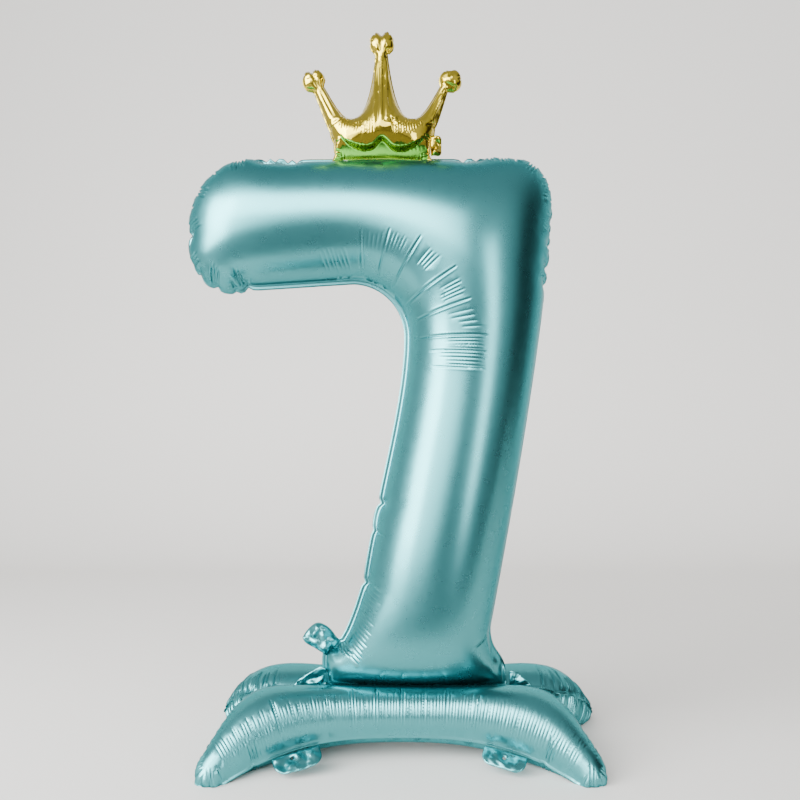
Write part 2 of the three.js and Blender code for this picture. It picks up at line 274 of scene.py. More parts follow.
def loop_edges(loops):
    """The edges of each loop, with the points numbered loop after loop."""
    edges, first = [], 0
    for loop in loops:
        n = len(loop)
        edges.append([(first + i, first + (i + 1) % n) for i in range(n)])
        first += n
    return edges


def triangulate(loops, points, tolerance):
    """Flat points, those of the loops first, and the triangles between them."""
    found = delaunay_2d_cdt([Vector(p) for p in np.vstack([*loops, points])],
                            sum(loop_edges(loops), []), [], 1, tolerance)
    return np.array([tuple(p) for p in found[0]]), np.array([tuple(t) for t in found[2]])


def film_net(seam, radius, step, pitch, creases, seed):
    """Flat points, triangles and the number of seam points, which come first. The others are rings
    that follow the seam, rows along the creases and an even field."""
    inwards = -outward(seam)
    offsets = rings(radius, step, 0.27 * radius)
    wanted = []
    for d in offsets:
        ring = seam + inwards * d
        wanted.append(ring[(distance(ring, seam) > 0.93 * d) & inside(ring, seam)])
    lo, hi = seam.min(0), seam.max(0)
    rng = np.random.default_rng(seed)
    field = []
    for r, y in enumerate(np.arange(lo[1], hi[1], pitch * 0.866)):
        x = np.arange(lo[0] + (r % 2) * pitch / 2, hi[0], pitch)
        field.append(np.stack([x, np.full_like(x, y)], 1))
    field = np.vstack(field)
    field += rng.uniform(-0.06, 0.06, field.shape) * pitch
    field = field[inside(field, seam)]
    wanted.append(field[distance(field, seam) > offsets[-1] + 0.55 * pitch])
    points = np.vstack(wanted)
    rows = np.array([p for c in creases for p in c.rows()])
    rows = rows[inside(rows, seam)]
    rows = thin(rows[distance(rows, seam) > 0.3], 0.52)
    keep = np.ones(len(points), bool)
    for c in creases:
        keep &= ~c.covers(points)
    flat, triangles = triangulate([seam], np.vstack([points[keep], rows]), 0.05)
    return flat, triangles, len(seam)


def inflate(points, triangles, n):
    """Heights of a sheet under air pressure: h * h / 2 solves Poisson's equation, 0 on the seam."""
    count = len(points)
    i, j, k = triangles.T
    rows, cols, vals, area = [], [], [], np.zeros(count)
    for a, b, c in ((i, j, k), (j, k, i), (k, i, j)):
        u, v = points[a] - points[c], points[b] - points[c]
        cross = np.abs(u[:, 0] * v[:, 1] - u[:, 1] * v[:, 0]) + 1e-9
        half = 0.5 * (u * v).sum(1) / cross
        rows += [a, b]
        cols += [b, a]
        vals += [half, half]
        np.add.at(area, a, cross / 6)
    rows, cols, vals = np.concatenate(rows), np.concatenate(cols), np.concatenate(vals)
    diagonal = np.bincount(rows, vals, count)
    free = np.arange(count) >= n

    def apply(x):
        return (diagonal * x - np.bincount(rows, vals * x[cols], count)) * free

    x = np.zeros(count)  # found by conjugate gradients
    r = area * free
    z = r / np.maximum(diagonal, 1e-9)
    p, rz = z, (r * z).sum()
    for _ in range(1500):
        q = apply(p)
        step = rz / (p * q).sum()
        x += step * p
        r -= step * q
        z = r / np.maximum(diagonal, 1e-9)
        new = (r * z).sum()
        if new < 1e-9 * (area * free).sum():
            break
        p = z + p * new / rz
        rz = new
    return np.sqrt(2 * np.maximum(x, 0))


def vertex_normals(co, triangles):
    i, j, k = triangles.T
    face = np.cross(co[j] - co[i], co[k] - co[i])
    out = np.zeros_like(co)
    for v in (i, j, k):
        np.add.at(out, v, face)
    return out / np.maximum(np.linalg.norm(out, axis=1), 1e-12)[:, None]


CLOTH_FRAMES = 18


def cloth(name, start, faces, seam_count, slack, pressure):
    """Lets Blender's cloth settle the two sheets under pressure, with the seam held."""
    mesh = bpy.data.meshes.new(name)
    mesh.from_pydata((start * MM).tolist(), [], faces.tolist())
    piece = add(name, mesh)
    held = piece.vertex_groups.new(name="seam")
    held.add(list(range(seam_count)), 1.0, "REPLACE")
    loose = piece.vertex_groups.new(name="slack")
    for v in np.nonzero(slack > 0.01)[0]:
        loose.add([int(v)], float(slack[v]), "REPLACE")
    modifier = piece.modifiers.new("cloth", "CLOTH")
    s = modifier.settings
    s.quality, s.mass, s.air_damping, s.pin_stiffness = 5, 0.05, 6, 1
    s.tension_stiffness, s.compression_stiffness, s.shear_stiffness = 500, 60, 30
    s.bending_stiffness = 0.02
    s.tension_damping = s.compression_damping = s.shear_damping = 8
    s.use_pressure, s.uniform_pressure_force = True, pressure
    s.vertex_group_mass, s.vertex_group_shrink = "seam", "slack"
    s.shrink_min, s.shrink_max = 0.0, -0.12
    s.effector_weights.gravity = 0
    modifier.collision_settings.use_collision = False
    modifier.collision_settings.use_self_collision = False
    modifier.point_cache.frame_end = CLOTH_FRAMES + 1
    for f in range(1, CLOTH_FRAMES + 1):
        bpy.context.scene.frame_set(f)
    result = piece.evaluated_get(bpy.context.evaluated_depsgraph_get())
    co = np.empty(len(start) * 3)
    result.data.vertices.foreach_get("co", co)
    bpy.context.scene.frame_set(1)
    bpy.data.objects.remove(piece)
    bpy.data.meshes.remove(mesh)
    return co.reshape(-1, 3) / MM


# ---------------- materials

def material(name):
    made = bpy.data.materials.new(name)
    made.use_nodes = True
    return made, made.node_tree, made.node_tree.nodes["Principled BSDF"]


def give(made, **values):
    """Sets a node's inputs by name. A value that is another node's output is linked."""
    for key, value in values.items():
        place = made.inputs[key.replace("_", " ")]
        if isinstance(value, bpy.types.NodeSocket):
            made.id_data.links.new(value, place)
        else:
            place.default_value = value


def node(tree, kind, **settings):
    made = tree.nodes.new(kind)
    for key, value in settings.items():
        setattr(made, key, value)
    return made


def noise(tree, scale, detail, roughness=0.5):
    """Noise all through a piece, in its own coordinates."""
    where = node(tree, "ShaderNodeTexCoord").outputs["Object"]
    made = node(tree, "ShaderNodeTexNoise")
    give(made, Vector=where, Scale=scale, Detail=detail, Roughness=roughness)
    return made.outputs["Fac"]


def remap(tree, value, start, end, low=0.0, high=1.0, way="LINEAR"):
    """Takes start to low and end to high, and stays at low or high beyond them."""
    made = node(tree, "ShaderNodeMapRange", interpolation_type=way)
    give(made, Value=value, From_Min=start, From_Max=end, To_Min=low, To_Max=high)
    return made.outputs["Result"]


def colour_between(tree, factor, a, b, shader):
    """Colours the shader from a to b with the factor."""
    tint = node(tree, "ShaderNodeMix", data_type="RGBA")
    give(tint, Factor=factor, A=(*a, 1), B=(*b, 1))
    give(shader, Base_Color=tint.outputs["Result"])


def uneven(tree, height, strength, depth, shader):
    made = node(tree, "ShaderNodeBump")
    give(made, Height=height, Strength=strength, Distance=depth)
    give(shader, Normal=made.outputs["Normal"])


def foil(name, dark, light, roughness, spread, grain, bump):
    """Metallised film: a tint that drifts a little, satin roughness and a fine uneven surface."""
    made, tree, shader = material(name)
    colour_between(tree, noise(tree, 7.0, 3.0), dark, light, shader)
    fine = noise(tree, grain, 4.0, 0.55)
    rough = remap(tree, fine, 0.0, 1.0, roughness - spread, roughness + spread)
    give(shader, Roughness=rough, Metallic=1.0)
    uneven(tree, fine, bump, 0.0006, shader)
    return made


def teal_foil():
    made = foil("teal_foil", (0.072, 0.318, 0.342), (0.092, 0.355, 0.378), 0.28, 0.03, 60.0, 0.05)
    shader = made.node_tree.nodes["Principled BSDF"]
    give(shader, Specular_Tint=(0.38, 0.62, 0.65, 1), Coat_Weight=0.06, Coat_Roughness=0.28)
    return made


def gold_foil():
    return foil("gold_foil", (0.54, 0.42, 0.035), (0.62, 0.485, 0.06), 0.05, 0.02, 45.0, 0.08)


def clear_film():
    made, tree, shader = material("clear_film")
    colour_between(tree, noise(tree, 90.0, 2.0), (0.80, 0.86, 0.88), (0.93, 0.95, 0.95), shader)
    give(shader, Roughness=0.35, Alpha=0.55)
    return made


def glue():
    """A clear sticky dot: cloudy, glossy and a little uneven."""
    made, tree, shader = material("glue")
    cloud = noise(tree, 220.0, 2.0)
    colour_between(tree, cloud, (0.72, 0.70, 0.62), (0.86, 0.85, 0.80), shader)
    uneven(tree, cloud, 0.2, 0.0003, shader)
    give(shader, Roughness=0.22, Transmission_Weight=0.3)
    return made


def add(name, data):
    made = bpy.data.objects.new(name, data)
    bpy.context.scene.collection.objects.link(made)
    return made


def dress(names, look):
    """Gives CAD solids that keep their own shape a better material."""
    for name in names:
        for place in bpy.data.objects[name].material_slots:
            place.material = look


TEAL, CLEAR = teal_foil(), clear_film()
LOOKS = {"foil_teal": TEAL, "foil_weld": TEAL, "foil_gold": gold_foil(), "valve_film": CLEAR}
GLUE = glue()


# ---------------- foil pieces

FLANGE_RINGS = 3
DEEPEST, HIGHEST = 3.2, 1.1  # of all the creases at one place, in millimetres


def foil_piece(name, co, faces, body, replaced, slot, film=0.0):
    """A piece of foil that rides on a body in place of its CAD solids. film thickens a single layer."""
    mesh = bpy.data.meshes.new(name)
    mesh.from_pydata((co * MM).tolist(), [], faces)
    mesh.update()
    mesh.polygons.foreach_set("use_smooth", [True] * len(mesh.polygons))
    mesh.materials.append(LOOKS[slot])
    piece = add(name, mesh)
    if film:
        shell = piece.modifiers.new("film", "SOLIDIFY")
        shell.thickness = film
        shell.offset = -1
    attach(piece, body)
    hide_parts(*replaced)


def flange(seam3, out, width, waves, fold):
    """Rings of points outside the seam: the weld's margin. It is waved where the film gathers, and
    fold turns it back, from 0, flat, to 1 or -1, nearly square to the seam's plane."""
    turn = fold * radians(80)
    made = []
    for k in range(1, FLANGE_RINGS + 1):
        u = k / FLANGE_RINGS
        ring = seam3.copy()
        ring[:, 0] += out[:, 0] * width * u * np.cos(turn)
        ring[:, 2] += out[:, 1] * width * u * np.cos(turn)
        ring[:, 1] += width * u * np.sin(turn) + waves * u
        made.append(ring)
    return made


def extra_film(seam, gathering, reach, least):
    """How much extra film there is at a point: most beside the seam where it turns sharply."""
    sharp = np.clip(bend(seam) * gathering, 0, 1)

    def at(points):
        closest = np.argmin(((points[:, None, :] - seam[None]) ** 2).sum(2), 1)
        return np.exp(-distance(points, seam) / reach) * (least + (1 - least) * sharp[closest])
    return at


def chamber(name, seam, creases, back_creases, wave, slack_at, seed, radius, step, pitch,
            clamp=None, bulge=(1.0, 1.0), cap=9.0, pressure=60.0, relief=1.0):
    """Both sheets of a chamber, their points as x, height off the seam's plane and y. Radius, step and
    pitch set the net's fineness, wave is the seam's own height, clamp and bulge bound and scale the
    inflated one, and cap is the furthest that the cloth may move a point."""
    flat, tris, n = film_net(seam, radius, step, pitch, creases + back_creases, seed)
    count = len(flat)
    height = inflate(flat, tris, n)
    other = np.arange(count)
    other[n:] += count - n
    most = clamp(flat) if clamp else (np.full(count, 1e3), np.full(count, 1e3))
    front = np.stack([flat[:, 0], -np.minimum(height * bulge[0], most[0]), flat[:, 1]], 1)
    back = np.stack([flat[:, 0], np.minimum(height * bulge[1], most[1]), flat[:, 1]], 1)[n:]
    front[:n, 1] = wave
    start = np.vstack([front, back])
    faces = np.vstack([tris, other[tris][:, ::-1]])
    slack = np.clip(slack_at(flat), 0, 1)
    slack = np.concatenate([slack, slack[n:]])
    moved = cloth(name, start, faces, n, slack, pressure) - start
    size = np.linalg.norm(moved, axis=1)
    start += moved * (cap * np.tanh(size / cap) / np.maximum(size, 1e-9))[:, None]
    push = np.concatenate([sum(c.push(flat) for c in creases),
                           sum(c.push(flat) for c in back_creases)[n:]])
    push = np.clip(push, -DEEPEST * relief, HIGHEST * relief)
    push[:n] = 0
    start = start + vertex_normals(start, faces) * push[:, None]
    start[n:count, 1] = np.maximum(start[n:count, 1], -most[0][n:])
    start[count:, 1] = np.minimum(start[count:, 1], most[1][n:])
    return {"triangles": tris, "seam": start[:n], "front": start[:count],
            "back": np.vstack([start[:n], start[count:]])}


def with_flange(sheet, rings_out, tris, sign, gap):
    """Adds the flange's rings to one sheet. The gap keeps the two sheets' films apart at the weld."""
    n = len(rings_out[0])
    co = sheet.copy()
    co[:n, 1] += sign * gap
    faces = [tuple(t) for t in (tris if sign < 0 else tris[:, ::-1])]
    previous = list(range(n))
    for ring in rings_out:
        first = len(co)
        ring = ring.copy()
        ring[:, 1] += sign * gap
        co = np.vstack([co, ring])
        here = list(range(first, first + n))
        for i in range(n):
            j = (i + 1) % n
            a, b, c, d = previous[i], previous[j], here[j], here[i]
            pair = [(a, c, b), (a, d, c)]
            faces += pair if sign < 0 else [t[::-1] for t in pair]
        previous = here
    return co, faces


def two_films(made, margin, body, labels, place, slot, gap=0.2):
    """Makes a chamber's two sheets into pieces. place takes the drawing's points to the row frame."""
    for which, sign, label in (("front", -1, labels[0]), ("back", 1, labels[1])):
        co, faces = with_flange(made[which], margin, made["triangles"], sign, gap)
        foil_piece(f"{body}_{label}_film", place(co), faces, body, [f"{body}_{label}_sheet"],
                   slot, FILM)


# ---------------- digit

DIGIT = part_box("digit_front_sheet")
LEFT, RIGHT, FOOT, TOP = DIGIT[0].x / MM, DIGIT[1].x / MM, DIGIT[0].z / MM, DIGIT[1].z / MM
DIGIT_FLANGE = 7.0
DIGIT_ZERO = 275  # the drawing's own zero lies this far right of the arm's end
ELBOW = (-62, -227)  # centre of the inner corner's arc, from that zero and from the digit's top
ELBOW_RADIUS = 67


def digit_outline():
    """The digit's outline with its flange, as the CAD model draws it."""
    x = LEFT + DIGIT_ZERO
    return trace(
        [(x - 102, FOOT), (x + 147, FOOT)],
        ((x + 148, FOOT + 27), (x + 134, FOOT + 45)),
        ((x + 124, FOOT + 57), (x + 124, FOOT + 79)),
        ((x + 138, FOOT + 163), (x + 194, FOOT + 473), (RIGHT, TOP - 58)),
        arc(RIGHT - 58, TOP - 58, 58, 0, 90),
        arc(x - 183, TOP - 93, 92, 90, 180),
        arc(LEFT + 55, TOP - 115, 55, 180, 270),
        arc(x + ELBOW[0], TOP + ELBOW[1], ELBOW_RADIUS, 90, 0),
        ((x + 5, FOOT + 383), (x - 35, FOOT + 253), (x - 50, FOOT + 151)),
        ((x - 62, FOOT + 104), (x - 77, FOOT + 73)),
        ((x - 88, FOOT + 60), (x - 101, FOOT + 58)),
        ((x - 112, FOOT + 44), (x - 107, FOOT + 12), (x - 102, FOOT)))


# Where gathered film pulls the seam in: x, z, how many creases start there and how long they are.
# The places are in the row frame, and each takes the nearest point of the seam.
ARM_NOTCHES = [
    (-179, 780, 1, 6), (-166, 780, 2, 7), (-152, 780, 1, 5), (-136, 780, 1, 6),
    (-207, 769, 4, 22), (-242, 756, 1, 9), (-260, 736, 3, 20), (-272, 718, 1, 5), (-279, 686, 3, 20),
    (-271, 651, 3, 14), (-261, 638, 1, 5), (-243, 624, 3, 20), (-219, 616, 1, 6), (-204, 616, 2, 20)]
CORNER_NOTCHES = [
    (74, 780, 1, 5), (92, 779, 2, 6), (109, 777, 2, 8), (125, 776, 3, 13), (142, 774, 1, 8),
    (161, 765, 3, 20), (176, 754, 1, 8), (186, 742, 2, 12), (190, 725, 2, 14), (190, 706, 1, 8),
    (190, 688, 2, 9), (190, 671, 1, 8), (188, 645, 1, 8), (187, 622, 2, 10)]
STEM_NOTCHES = [(-51, 231, 1, 8), (-43, 300, 1, 5), (-37, 341, 1, 5),
                (-84, 153, 2, 16), (-93, 148, 1, 12)]


def nearest(seam, x, z):
    """The number of the seam's point that is nearest to the place."""
    return int(np.argmin(np.hypot(seam[:, 0] - x, seam[:, 1] - z)))


def seam_waves(seam, notches, depth, tilt, seed):
    """Pulls the seam in at each notch and tilts the film between notches to one side or the other."""
    rng = np.random.default_rng(seed)
    normal = outward(seam, 2)
    step = np.linalg.norm(np.roll(seam, -1, 0) - seam, axis=1)
    along = np.concatenate([[0], np.cumsum(step)[:-1]])
    total = step.sum()
    pull, wave = np.zeros(len(seam)), np.zeros(len(seam))
    places = sorted(nearest(seam, x, z) for x, z, *_ in notches)
    for i in places:
        gap = np.abs((along - along[i] + total / 2) % total - total / 2)
        pull += depth * rng.uniform(0.5, 1.3) * np.exp(-gap / 3.5)
    for i, j in zip(places, places[1:]):
        if along[j] - along[i] < 60:
            u = (along - along[i]) / max(along[j] - along[i], 1)
            lobe = np.where((u > 0) & (u < 1), np.sin(np.pi * np.clip(u, 0, 1)), 0)
            wave += tilt * rng.uniform(-1, 1) * lobe
            pull -= 0.35 * depth * lobe
    return seam - normal * pull[:, None], wave


def notch_creases(seam, notches, width, depth, seed):
    """Short creases that fan out from each notch into the film."""
    rng = np.random.default_rng(seed)
    normal = outward(seam, 8)
    made = []
    for x, z, count, length in notches:
        i = nearest(seam, x, z)
        inwards = -normal[i]
        across = np.array([-inwards[1], inwards[0]])
        for k in range(count):
            off = k - (count - 1) / 2
            a = seam[i] + across * off * 3.6 * width
            b = a + inwards * length * rng.uniform(0.75, 1.1) + across * off * rng.uniform(0.2, 1.4)
            made.append(Crease(a, b, width, depth * rng.uniform(0.7, 1.15), 0.7, from_seam=True))
    return made


# Creases round the inner corner, each from its outer end to its inner end, and its depth. The ends
# are measured from the centre of the corner's arc.
LONG_CREASES = [((15, 119), (14, 72), 0.8), ((50, 119), (33, 67), 1.1), ((88, 109), (51, 56), 1.5),
                ((130, 72), (67, 34), 1.5), ((148, 35), (77, 14), 1.5), ((169, -8), (81, -7), 1.3),
                ((168, -28), (96, -24), 0.8), ((167, -49), (100, -44), 0.8)]
# Bundles of fine creases between neighbours in that list: how many, over which part of the way from
# one to the next, their length and depth.
BUNDLES = [(5, 0.10, 0.80, 20, 0.22), (5, 0.15, 0.65, 22, 0.26), (4, 0.32, 0.60, 26, 0.40),
           (5, 0.34, 0.80, 30, 0.42), (4, 0.28, 0.75, 29, 0.36), (4, 0.22, 0.85, 48, 0.50),
           (4, 0.20, 0.85, 58, 0.60)]


def elbow_creases(seed, scale=1.0):
    """Long creases that fan out round the inner corner, with bundles of fine ones between them. With
    a scale under 1 they are shallower and a little out of place."""
    rng = np.random.default_rng(seed)
    centre = np.array([LEFT + DIGIT_ZERO + ELBOW[0], TOP + ELBOW[1]])
    made = []
    for outer, inner, depth in LONG_CREASES:
        shake = rng.uniform(-1.5, 1.5, 2) if scale < 1 else 0
        made.append(Crease(centre + outer + shake, centre + inner + shake, 1.0, depth * scale, 0.4,
                           alone=True))
    for a, b, bundle in zip(LONG_CREASES, LONG_CREASES[1:], BUNDLES):
        count, start, end, length, depth = bundle
        for t in np.linspace(start, end, count):
            outer, inner = ((1 - t) * np.array(p) + t * np.array(q) for p, q in zip(a[:2], b[:2]))
            way = (inner - outer) / np.linalg.norm(inner - outer)
            outer = outer + way * rng.uniform(1, 7)
            far = outer + way * length * rng.uniform(0.75, 1.1)
            made.append(Crease(centre + outer, centre + far, 0.9, depth * scale * rng.uniform(0.6, 1.2),
                               0.4))
    for k in range(7):  # a faint row over the arm's lower edge, left of the corner
        x = -38 + 5.2 * k
        high, low = 100 + rng.uniform(-3, 3), 78 + rng.uniform(-3, 3)
        made.append(Crease(centre + (x, high), centre + (x + 7, low), 0.9, 0.3 * scale, 0.4))
    return made


def stem_pleats(seed):
    """The row of fine pleats along the stem's lower left edge."""
    rng = np.random.default_rng(seed)
    made = []
    for u in np.arange(18) / 17:
        a = np.array([-49 - 25 * u, 232 - 92 * u])
        slant = radians(-22 - 20 * u)
        b = a + (20 + 6 * rng.uniform(0, 1)) * np.array([cos(slant), sin(slant)])
        made.append(Crease(a, b, 0.95, 0.9 * rng.uniform(0.6, 1.1), 0.5))
    return made


def build_digit():
    outline = resample(digit_outline(), 5.5)
    out = outward(outline, 3)
    on_foot = outline[:, 1] < FOOT + 0.5
    stem_right = (outline[:, 0] > 100) & (outline[:, 1] > FOOT + 30)
    # the flange turns back where the outline bulges, and down the stem's right side
    fold = ramp(bend(outline), 0.003, 0.010) * (outline[:, 1] > FOOT + 120)
    fold = blur(np.maximum(fold, 0.8 * stem_right), 3)
    seam = outline - out * (DIGIT_FLANGE * (1 - fold) + 1.5 * fold)[:, None]
    seam[on_foot, 1] = FOOT + 2.5
    notches = ARM_NOTCHES + CORNER_NOTCHES + STEM_NOTCHES
    seam, wave = seam_waves(seam, notches, depth=3.8, tilt=1.3, seed=5)
    creases = notch_creases(seam, notches, 1.15, 2.5, 8) + elbow_creases(4) + stem_pleats(6)
    creases += [Crease((112, 172), (124, 108), 2.6, 1.6, 0.5, alone=True),  # at the foot's right corner
                Crease((92, 152), (112, 164), 1.1, 1.0, 0.5, alone=True)]
    back = notch_creases(seam, notches, 1.3, 2.6, 18) + elbow_creases(14, 0.8)

    def clamp(flat):
        rise = np.maximum(flat[:, 1] - FOOT + 1.5, 0)
        return 1.5 + rise / DIGIT_FRONT_UNDERSIDE, 1.5 + np.maximum(rise - 1.5, 0) / DIGIT_UNDERSIDE

    made = chamber("digit", seam, creases, back, wave, extra_film(seam, 90, 14.0, 0.15), seed=3,
                   radius=86.0, step=7.0, pitch=8.0, clamp=clamp, relief=1.2)
    margin = flange(made["seam"], out, DIGIT_FLANGE * 0.9, 1.5 * wave, fold)
    for ring in margin:
        ring[on_foot, 2] = np.maximum(ring[on_foot, 2], FOOT + 0.4)
    two_films(made, margin, "digit", ("front", "back"), np.copy, "foil_teal")


# ---------------- arches

ARCH_WIDTH = 500.6  # of the drawing; stretch takes it to the CAD arch's own width
ARCH_END, ARCH_INNER_FOOT, ARCH_TOP_END = 256, 226, 160  # x of the tip, the foot and the straight top


def arch_span(prefix):
    """The arch's middle and its stretch."""
    lo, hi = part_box(f"{prefix}_upper_sheet")
    return (lo.x + hi.x) / 2 / MM, (hi.x - lo.x) / ARCH_WIDTH / MM


def arch_outline(stretch):
    """x along the arch and y up its slope, 0 on the weld line."""
    end, top, foot = ARCH_END * stretch, ARCH_TOP_END * stretch, ARCH_INNER_FOOT * stretch
    return trace(
        [tuple(lower_edge(stretch, x)[0]) for x in np.linspace(-foot, foot, 61)],
        ((1.015 * end, -ARCH_FOOT - 4), (end, -126)),
        ((0.955 * end, -62), (0.80 * end, -5), (top, -3)),
        ((-top, -3),),
        ((-0.80 * end, -5), (-0.955 * end, -62), (-end, -126)),
        ((-1.015 * end, -ARCH_FOOT - 4), (-foot, -ARCH_FOOT)))


def soft_max(a, b, round_over):
    """The larger of the two, with a rounded corner where they meet."""
    return 0.5 * (a + b + np.sqrt((a - b) ** 2 + round_over ** 2))


def place_arch(points, side, centre):
    """From an arch's drawing to the row frame. side is -1 for the front arch and 1 for the rear. The
    film keeps off the plane between the arches, under a slope near the weld and above the floor."""
    down, out = -points[:, 2], side * points[:, 1]
    across = down * cos(ARCH_SLOPE) + out * sin(ARCH_SLOPE)
    z = WELD_Z - down * sin(ARCH_SLOPE) + out * cos(ARCH_SLOPE)
    across = soft_max(across, 1.5 + np.maximum(WELD_Z - z, 0) * ARCH_SHARE, 2.0)
    z = -soft_max(-z, -(WELD_Z + 4 + across * ARCH_TOP), 3.0)
    z = soft_max(z, np.zeros(len(z)), 2.5) - 1.2
    return np.stack([centre + points[:, 0], side * across, np.maximum(z, 0.1)], 1)


def lower_edge(stretch, x):
    """A point on the arch's lower edge, the direction along it and the direction into the film."""
    foot, power, drop = ARCH_INNER_FOOT * stretch, 2.7, ARCH_FOOT - ARCH_CROTCH
    u = abs(x) / foot
    point = np.array([x, -(ARCH_CROTCH + drop * u ** power)])
    along = np.array([1, -copysign(drop * power * u ** (power - 1) / foot, x)])
    along /= np.linalg.norm(along)
    return point, along, np.array([-along[1], along[0]])


def edge_pleats(stretch, seed, clusters):
    """Fine even pleats that stand on the arch's lower edge, with deeper groups among them."""
    rng = np.random.default_rng(seed)
    end = 208 * stretch
    made, x = [], -end
    while x < end:
        point, along, up = lower_edge(stretch, x)
        deep = min(abs(x - c) for c in clusters) < 2.6
        low = rng.uniform(6, 10)
        high = rng.uniform(34, 46) + (9 if deep else 0)
        lean = along * rng.uniform(-1.0, 1.0)
        depth = 1.3 if deep else rng.uniform(0.25, 0.62)
        made.append(Crease(point + up * low, point + up * high + lean, 0.78, depth, 0.6))
        x += along[0] * rng.uniform(3.4, 4.1)
    return made


def arch_notches(stretch, seed, gap):
    """Notches down both outer ends, where the film has to gather."""
    rng = np.random.default_rng(seed)
    outline = np.array(arch_outline(stretch))
    made = []
    for side in (-1, 1):
        end = outline[outline[:, 0] * side > 168 * stretch]
        turn = np.arctan2(end[:, 0] * side - 150 * stretch, end[:, 1] + 70)
        end = end[np.argsort(turn)]  # from the top down round the end
        along = way_along(end)
        s = 4.0
        while s < along[-1] - 3:
            x, y = np.interp(s, along, end[:, 0]), np.interp(s, along, end[:, 1])
            if y > -128:
                made.append((x, y, int(rng.integers(1, 4)), rng.uniform(8, 19)))
            s += rng.uniform(0.75, 1.3) * gap
        made += [(side * x * stretch, y, count, length) for x, y, count, length in
                 [(255, -140, 2, 11), (247, -156, 1, 9), (232, -160, 2, 20), (216, -152, 1, 9)]]
    return made


def build_arch(prefix, side, seed, clusters, fold_gap, fold_depth):
    """One arch, its visible upper sheet with the fine pleats and its lower sheet without."""
    centre, stretch = arch_span(prefix)
    outline = resample(arch_outline(stretch), 4.5)
    out = outward(outline, 3)
    fold = blur(ramp(bend(outline), 0.003, 0.008) * (outline[:, 1] < -8), 3)
    seam = outline - out * (6.0 * (1 - fold) + 1.2 * fold)[:, None]
    notches = arch_notches(stretch, seed, fold_gap)
    seam, wave = seam_waves(seam, notches, depth=2.2, tilt=1.2, seed=seed + 1)
    pleats = edge_pleats(stretch, seed + 2, clusters)
    upper = pleats + notch_creases(seam, notches, 1.1, fold_depth, seed + 3)
    lower = notch_creases(seam, notches, 1.1, fold_depth, seed + 4)
    creases, bulge, labels = (upper, lower), (1.15, 1.2), ("upper", "lower")
    if side > 0:
        creases, bulge, labels = creases[::-1], bulge[::-1], labels[::-1]
    made = chamber(prefix, seam, *creases, wave, extra_film(seam, 70, 12.0, 0.1), seed=seed,
                   radius=46.0, step=6.0, pitch=7.0, bulge=bulge, cap=5.0)
    on_edge = ramp(-out[:, 1], 0.5, 0.9)  # the lower edge's margin hangs a little
    turn = np.maximum(fold, 0.75 * on_edge)
    margin = flange(made["seam"], out, 5.4, 1.2 * wave, -side * turn)
    two_films(made, margin, prefix, labels, lambda co: place_arch(co, side, centre), "foil_teal")


# ---------------- crown

HEM_SLOPE = 0.75  # below its crease the hem faces down towards the digit


def lobed(x, y, radius, start, end, notch, depth, spread):
    """A ball's outline, from one side of its neck to the other, with a notch that makes two lobes."""
    out = []
    for angle in np.linspace(start, end, 41):
        r = radius - depth * exp(-(((angle - notch) / spread) ** 2))
        out.append((x + r * cos(radians(angle)), y + r * sin(radians(angle))))
    return out


def crown_outline():
    """x from the crown's middle and y up from its base, as in the CAD model, with lobed balls."""
    tilt, neck = 58, 33  # an outer ball's lean and the half angle of a neck, in degrees
    return trace(
        [(-66, -2.5)], ((-32, 3), (32, 3), (66, -2.5)), ((60, 8), (64, 22)), [(68, 34), (84, 84)],
        lobed(87, 98, 15, tilt - 180 + neck, tilt + 180 - neck, tilt + 34, 2.5, 20),
        ((60, 70), (50, 50), (36, 52)), ((22, 54), (13, 90), (8, 131)),
        lobed(0, 143, 16.5, neck - 90, 270 - neck, 94, 6.5, 13),
        ((-13, 90), (-22, 54), (-36, 52)), ((-50, 50), (-60, 70), (-73, 91)),
        lobed(-87, 98, 15, -tilt + neck, 360 - tilt - neck, 104, 5.0, 13),
        [(-68, 34)] + curve((-64, 22), (-60, 8), (-66, -2.5)))


def crown_hem():
    """The crease above the crown's hem, from the left end to the right."""
    return trace([(-66, 42)], ((-54, 17), (-34, 9), (-16, 11)), ((-7, 12), (-5, 19), (0, 20)),
                 ((6, 19), (9, 11), (18, 10)), ((34, 8), (54, 16), (66, 38)))


# Creases of the crown's points and balls: both ends, width, depth and ridge.
CROWN_CREASES = [
    ((-6, 34), (-3.4, 124), 1.8, 2.2, 0.8), ((3.5, 38), (2.4, 126), 1.8, 2.4, 0.8),
    ((10, 56), (5.5, 100), 1.4, 0.9, 0.6), ((-12, 52), (-7, 88), 1.3, 0.7, 0.6),
    ((-0.5, 128), (-1, 153), 2.2, 3.2, 0.5), ((-79, 84), (-90, 108), 2.0, 2.6, 0.5),
    ((-60, 48), (-79, 86), 1.6, 1.5, 0.7), ((60, 48), (79, 86), 1.6, 1.5, 0.7),
    ((66, 46), (83, 84), 1.4, 1.1, 0.7), ((76, 93), (96, 86), 2.0, 2.4, 0.6),
    ((-96, 98), (-78, 101), 1.5, 1.2, 0.6), ((84, 100), (90, 106), 1.6, 1.4, 0.6),
    ((-64, 40), (-50, 47), 1.4, 1.2, 0.5), ((56, 38), (68, 44), 1.4, 1.2, 0.5),
    ((8, 47), (20, 30), 1.6, 1.6, 0.6), ((4, 38), (22, 41), 1.5, 1.3, 0.6),
    ((14, 50), (15, 27), 1.5, 1.1, 0.6)]


